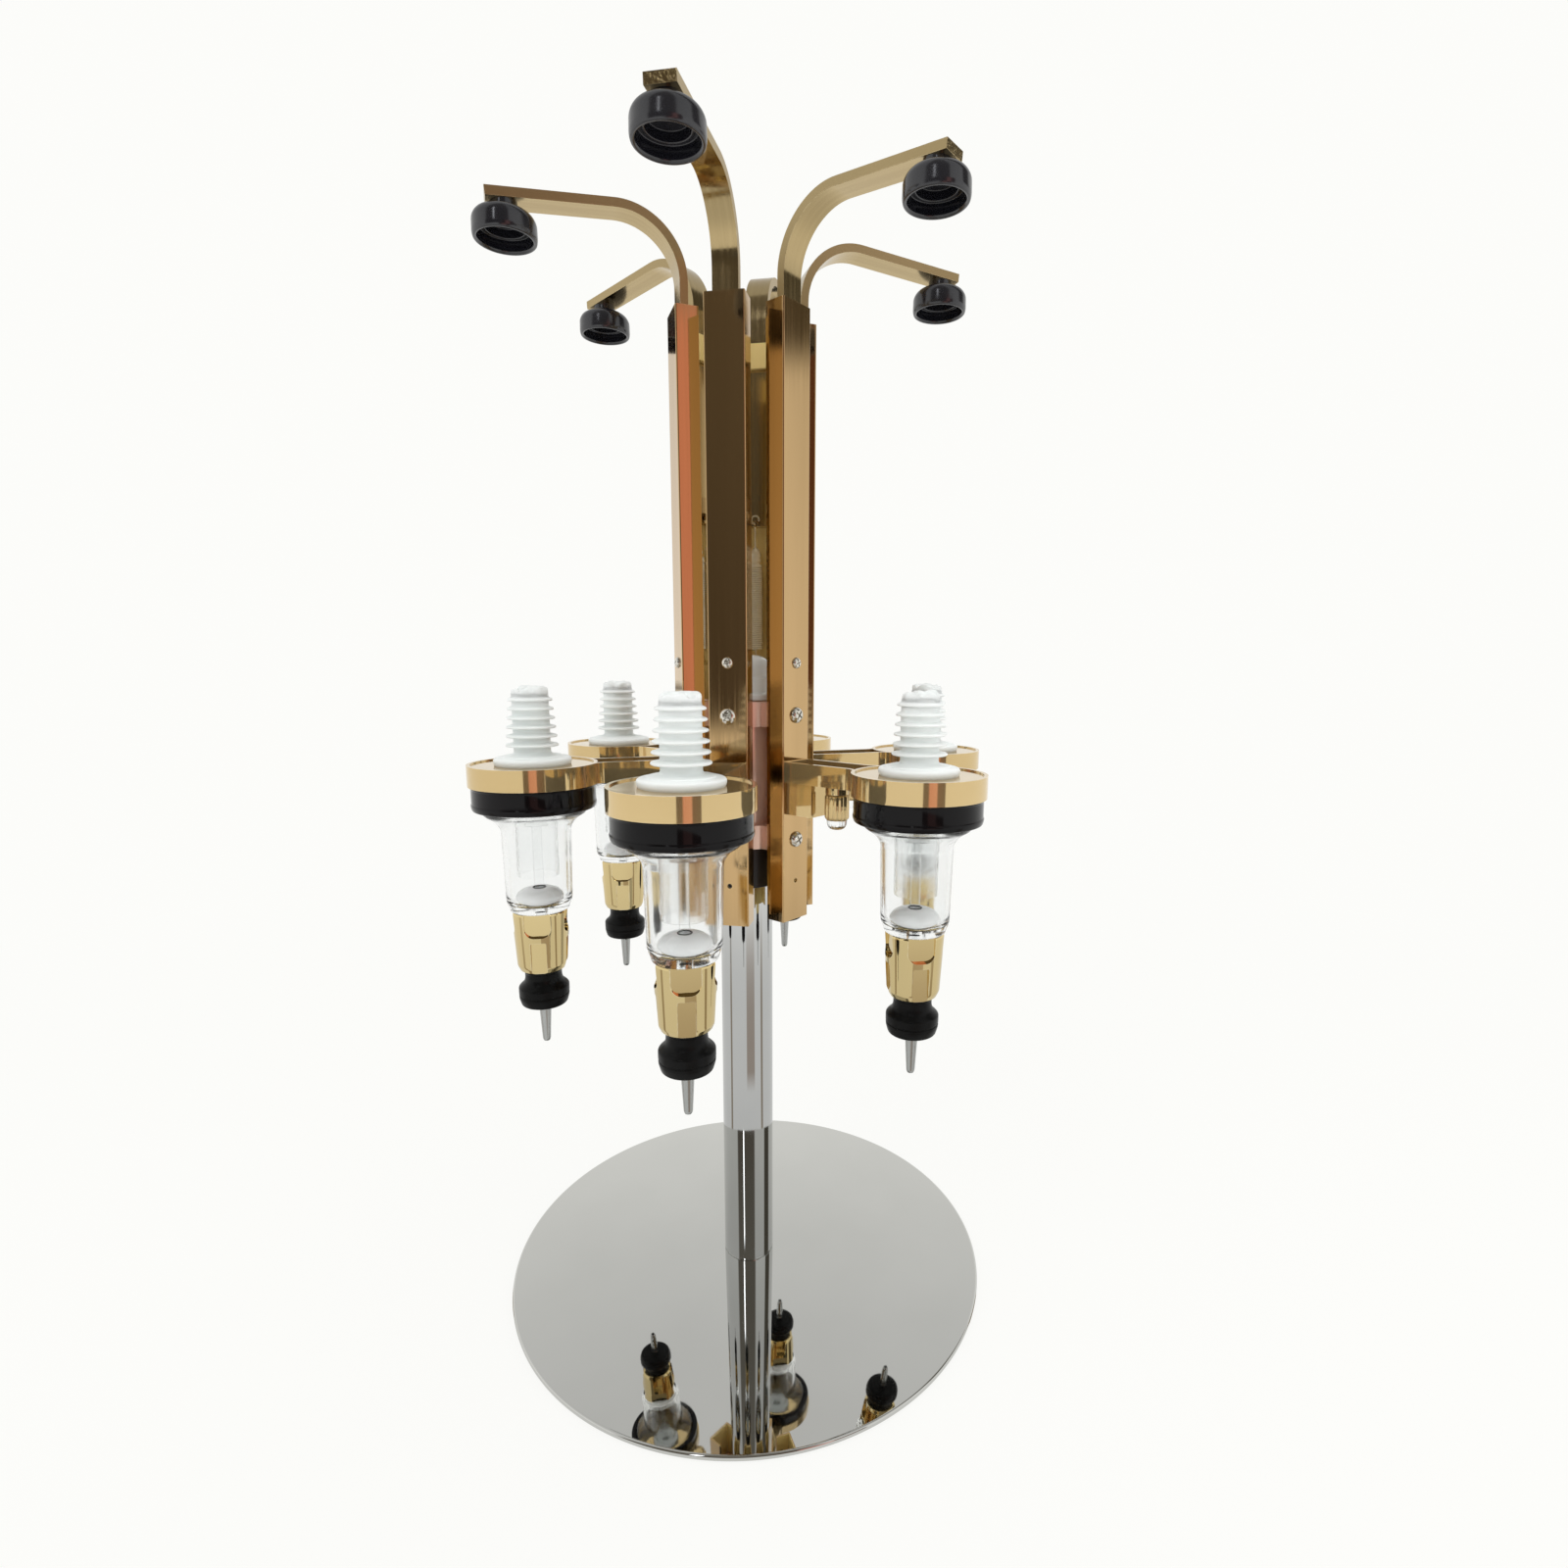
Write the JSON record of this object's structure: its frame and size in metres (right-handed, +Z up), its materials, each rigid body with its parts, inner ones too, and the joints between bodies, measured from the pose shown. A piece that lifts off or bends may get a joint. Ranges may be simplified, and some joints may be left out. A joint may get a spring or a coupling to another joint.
{
  "type": "rotary drinks dispenser",
  "caption": "Turning bar stand: a chrome pole on a round mirror base carries gold channels with sprung bottle arms and push-up spirit measures.",
  "frame": {"origin": "centre of the underside of the round base", "axes": "+Z up along the pole; station 1 faces -Y and the others follow clockwise seen from above, 60 degrees apart"},
  "size_m": [0.3, 0.314, 0.6225],
  "materials": {
    "mirror_steel": "mirror polished stainless steel",
    "chrome_tube": "chrome plated steel tube",
    "gold_channel": "bright gold anodised aluminium",
    "gold_bar": "gold plated flat steel bar",
    "gold_casting": "gold plated zinc casting, polished",
    "gold_sleeve": "pale gold plated sleeve, polished",
    "hub_metal": "turned and cast aluminium",
    "black_gloss": "glossy black moulded plastic",
    "black_nylon": "black nylon",
    "black_rubber": "black rubber, slight sheen",
    "pad_rubber": "thin non-slip rubber sheet",
    "white_silicone": "translucent white silicone",
    "clear_plastic": "clear moulded plastic",
    "grey_plastic": "grey moulded plastic",
    "screw_nickel": "nickel plated screws",
    "spring_steel": "drawn spring wire",
    "spout_steel": "drawn stainless tube"
  },
  "bodies": {
    "stand": {"foot_pad": "pad_rubber", "base_plate": "mirror_steel", "base_bolt": "screw_nickel", "pole": "chrome_tube", "thrust_collar": "black_nylon", "pole_cap": "grey_plastic"},
    "rotor": {"hub_sleeve": "hub_metal", "hub_spiders": "hub_metal", "arm_guides": "gold_channel", "channel_screws": "screw_nickel", "spring_anchors": "screw_nickel", "bracket_screws": "screw_nickel", "brackets": "gold_casting", "lock_rings": "black_gloss", "stoppers": "white_silicone", "chambers": "clear_plastic", "valve_sleeves": "gold_sleeve", "channel_1": "gold_channel", "channel_2": "gold_channel", "channel_3": "gold_channel", "channel_4": "gold_channel", "channel_5": "gold_channel", "channel_6": "gold_channel", "spring_1": "spring_steel", "spring_2": "spring_steel", "spring_3": "spring_steel", "spring_4": "spring_steel", "spring_5": "spring_steel", "spring_6": "spring_steel"},
    "bottle_arm_1": {"arm_1": "gold_bar", "cup_1": "black_gloss"},
    "bottle_arm_2": {"arm_2": "gold_bar", "cup_2": "black_gloss"},
    "bottle_arm_3": {"arm_3": "gold_bar", "cup_3": "black_gloss"},
    "bottle_arm_4": {"arm_4": "gold_bar", "cup_4": "black_gloss"},
    "bottle_arm_5": {"arm_5": "gold_bar", "cup_5": "black_gloss"},
    "bottle_arm_6": {"arm_6": "gold_bar", "cup_6": "black_gloss"},
    "valve_1": {"plunger_1": "black_rubber", "spout_1": "spout_steel"},
    "valve_2": {"plunger_2": "black_rubber", "spout_2": "spout_steel"},
    "valve_3": {"plunger_3": "black_rubber", "spout_3": "spout_steel"},
    "valve_4": {"plunger_4": "black_rubber", "spout_4": "spout_steel"},
    "valve_5": {"plunger_5": "black_rubber", "spout_5": "spout_steel"},
    "valve_6": {"plunger_6": "black_rubber", "spout_6": "spout_steel"},
    "knob_1": {"clamp_knob_1": "gold_casting"},
    "knob_2": {"clamp_knob_2": "gold_casting"},
    "knob_3": {"clamp_knob_3": "gold_casting"},
    "knob_4": {"clamp_knob_4": "gold_casting"},
    "knob_5": {"clamp_knob_5": "gold_casting"},
    "knob_6": {"clamp_knob_6": "gold_casting"}
  },
  "joints": [
    {"name": "rotor_spin", "type": "hinge", "parent": "stand", "child": "rotor", "pos_m": [0, 0, 0.3], "axis": [0, 0, 1], "continuous": true},
    {"name": "arm_slide_1", "type": "slide", "parent": "rotor", "child": "bottle_arm_1", "axis": [0, 0, 1], "range_m": [0, 0.07], "stiffness_N_per_m": 120, "springref_m": -0.05, "deforming": ["spring_1"]},
    {"name": "arm_slide_2", "type": "slide", "parent": "rotor", "child": "bottle_arm_2", "axis": [0, 0, 1], "range_m": [0, 0.07], "stiffness_N_per_m": 120, "springref_m": -0.05, "deforming": ["spring_2"]},
    {"name": "arm_slide_3", "type": "slide", "parent": "rotor", "child": "bottle_arm_3", "axis": [0, 0, 1], "range_m": [0, 0.07], "stiffness_N_per_m": 120, "springref_m": -0.05, "deforming": ["spring_3"]},
    {"name": "arm_slide_4", "type": "slide", "parent": "rotor", "child": "bottle_arm_4", "axis": [0, 0, 1], "range_m": [0, 0.07], "stiffness_N_per_m": 120, "springref_m": -0.05, "deforming": ["spring_4"]},
    {"name": "arm_slide_5", "type": "slide", "parent": "rotor", "child": "bottle_arm_5", "axis": [0, 0, 1], "range_m": [0, 0.07], "stiffness_N_per_m": 120, "springref_m": -0.05, "deforming": ["spring_5"]},
    {"name": "arm_slide_6", "type": "slide", "parent": "rotor", "child": "bottle_arm_6", "axis": [0, 0, 1], "range_m": [0, 0.07], "stiffness_N_per_m": 120, "springref_m": -0.05, "deforming": ["spring_6"]},
    {"name": "plunger_push_1", "type": "slide", "parent": "rotor", "child": "valve_1", "axis": [0, 0, 1], "range_m": [0, 0.007], "stiffness_N_per_m": 500, "springref_m": -0.006},
    {"name": "plunger_push_2", "type": "slide", "parent": "rotor", "child": "valve_2", "axis": [0, 0, 1], "range_m": [0, 0.007], "stiffness_N_per_m": 500, "springref_m": -0.006},
    {"name": "plunger_push_3", "type": "slide", "parent": "rotor", "child": "valve_3", "axis": [0, 0, 1], "range_m": [0, 0.007], "stiffness_N_per_m": 500, "springref_m": -0.006},
    {"name": "plunger_push_4", "type": "slide", "parent": "rotor", "child": "valve_4", "axis": [0, 0, 1], "range_m": [0, 0.007], "stiffness_N_per_m": 500, "springref_m": -0.006},
    {"name": "plunger_push_5", "type": "slide", "parent": "rotor", "child": "valve_5", "axis": [0, 0, 1], "range_m": [0, 0.007], "stiffness_N_per_m": 500, "springref_m": -0.006},
    {"name": "plunger_push_6", "type": "slide", "parent": "rotor", "child": "valve_6", "axis": [0, 0, 1], "range_m": [0, 0.007], "stiffness_N_per_m": 500, "springref_m": -0.006},
    {"name": "knob_turn_1", "type": "hinge", "parent": "rotor", "child": "knob_1", "pos_m": [0, -0.07, 0.31], "axis": [0, 0, 1], "range_deg": [0, 360]},
    {"name": "knob_turn_2", "type": "hinge", "parent": "rotor", "child": "knob_2", "pos_m": [-0.06062, -0.035, 0.31], "axis": [0, 0, 1], "range_deg": [0, 360]},
    {"name": "knob_turn_3", "type": "hinge", "parent": "rotor", "child": "knob_3", "pos_m": [-0.06062, 0.035, 0.31], "axis": [0, 0, 1], "range_deg": [0, 360]},
    {"name": "knob_turn_4", "type": "hinge", "parent": "rotor", "child": "knob_4", "pos_m": [0, 0.07, 0.31], "axis": [0, 0, 1], "range_deg": [0, 360]},
    {"name": "knob_turn_5", "type": "hinge", "parent": "rotor", "child": "knob_5", "pos_m": [0.06062, 0.035, 0.31], "axis": [0, 0, 1], "range_deg": [0, 360]},
    {"name": "knob_turn_6", "type": "hinge", "parent": "rotor", "child": "knob_6", "pos_m": [0.06062, -0.035, 0.31], "axis": [0, 0, 1], "range_deg": [0, 360]}
  ]
}
